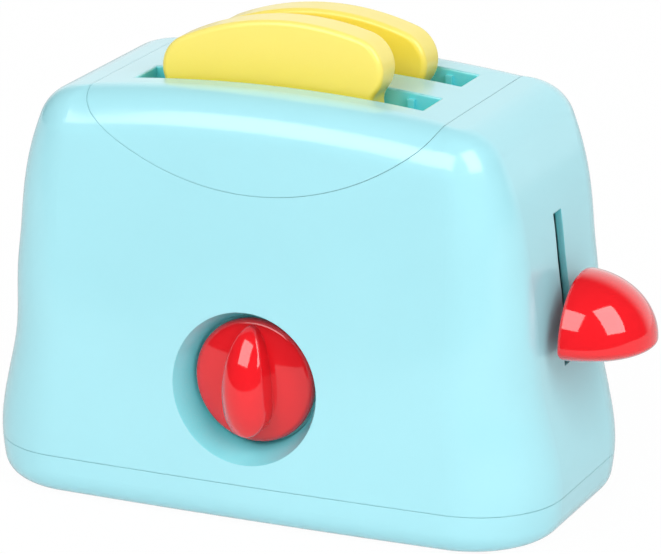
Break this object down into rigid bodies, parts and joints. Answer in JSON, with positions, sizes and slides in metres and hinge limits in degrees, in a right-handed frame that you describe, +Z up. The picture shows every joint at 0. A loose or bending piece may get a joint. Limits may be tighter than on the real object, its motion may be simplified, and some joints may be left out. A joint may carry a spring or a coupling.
{
  "type": "toy toaster",
  "caption": "Toy pop-up toaster in turquoise plastic with red dial, red side lever and two toy bread slices.",
  "frame": {"origin": "centre of the flat underside that the toaster stands on", "axes": "+X towards the lever, +Y towards the back (the dial faces -Y), +Z up"},
  "size_m": [0.2115, 0.1037, 0.1551],
  "materials": {
    "turquoise_plastic": "satin",
    "red_plastic": "glossy",
    "bread_plastic": "satin",
    "grey_plastic": "matte",
    "steel": "brushed"
  },
  "bodies": {
    "housing": {"main_shell": "turquoise_plastic", "top_panel": "turquoise_plastic", "base_tray": "turquoise_plastic", "chassis": "grey_plastic", "base_screws": "steel", "chassis_screws": "steel", "post_screws": "steel", "leaf_screws": "steel", "latch_finger": "steel", "drag_leaf": "steel", "guide_post_left": "steel", "guide_post_right": "steel", "lift_spring_left": "steel", "lift_spring_right": "steel"},
    "carriage_unit": {"carriage": "grey_plastic", "lever_arm": "steel", "lever_pins": "steel", "lever_knob": "red_plastic"},
    "dial_unit": {"dial": "red_plastic", "dial_cam": "grey_plastic", "dial_screw": "steel"},
    "bread_front_slice": {"bread_front": "bread_plastic"},
    "bread_rear_slice": {"bread_rear": "bread_plastic"}
  },
  "joints": [
    {"name": "carriage_lift", "type": "slide", "parent": "housing", "child": "carriage_unit", "axis": [0, 0, 1], "range_m": [0, 0.032], "deforming": ["lift_spring_left", "lift_spring_right", "latch_finger"]},
    {"name": "dial_turn", "type": "hinge", "parent": "housing", "child": "dial_unit", "pos_m": [0, -0.04, 0.0449], "axis": [0, -1, 0], "range_deg": [-125, 125], "deforming": ["latch_finger"]},
    {"name": "bread_front_lift", "type": "slide", "parent": "carriage_unit", "child": "bread_front_slice", "axis": [0, 0, 1], "range_m": [0, 0.09]},
    {"name": "bread_rear_lift", "type": "slide", "parent": "carriage_unit", "child": "bread_rear_slice", "axis": [0, 0, 1], "range_m": [0, 0.09]}
  ]
}
